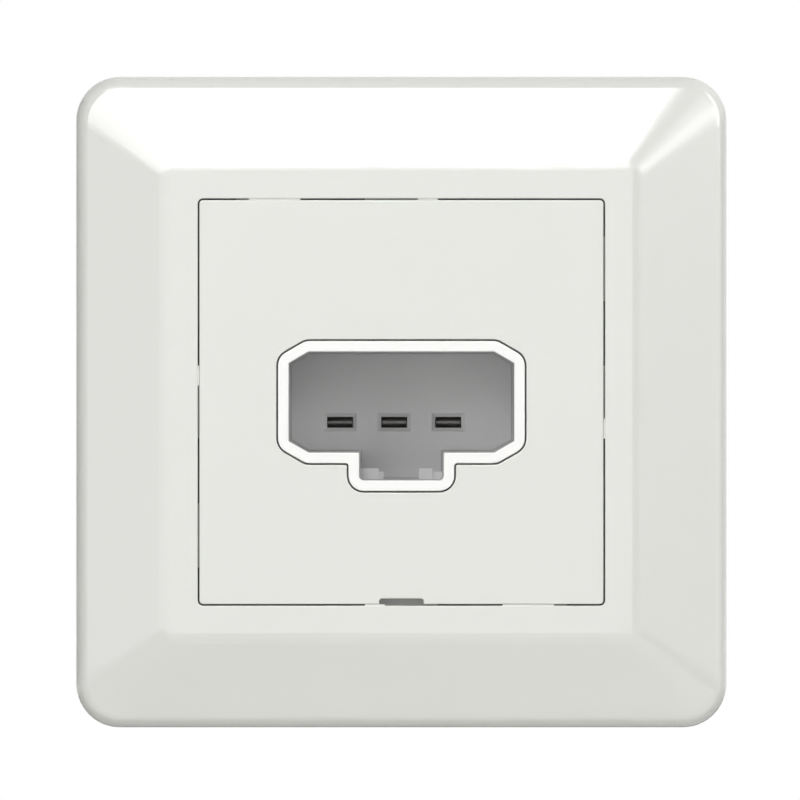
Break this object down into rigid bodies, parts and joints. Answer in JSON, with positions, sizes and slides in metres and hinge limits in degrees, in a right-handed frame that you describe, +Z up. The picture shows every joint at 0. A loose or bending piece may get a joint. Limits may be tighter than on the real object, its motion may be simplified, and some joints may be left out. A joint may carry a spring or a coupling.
{
  "type": "lighting connection outlet",
  "caption": "Square flush wall outlet with a bevelled cover frame and a keyed plug well that feeds a luminaire. A steel plate screws it to a wall box.",
  "frame": {"origin": "middle of the square on the wall plane, between the box screws", "axes": "+X right and +Z up as seen from the front, +Y into the wall"},
  "size_m": [0.085, 0.044, 0.085],
  "materials": {
    "cover_plastic": "gloss",
    "socket_plastic": "gloss",
    "block_plastic": "matt",
    "base_plastic": "matt",
    "zinc_steel": "zinc plated",
    "contact_bronze": "tinned",
    "spring_steel": "satin"
  },
  "bodies": {
    "root": {"cover_frame": "cover_plastic", "centre_plate": "cover_plastic", "socket_shroud": "socket_plastic", "contact_block": "block_plastic", "rear_base": "base_plastic", "mounting_plate": "zinc_steel", "assembly_screws": "zinc_steel", "line_contact": "contact_bronze", "line_spring_1": "spring_steel", "line_spring_2": "spring_steel", "neutral_contact": "contact_bronze", "neutral_spring_1": "spring_steel", "neutral_spring_2": "spring_steel", "earth_contact": "contact_bronze", "earth_spring_1": "spring_steel", "earth_spring_2": "spring_steel"}
  },
  "joints": []
}
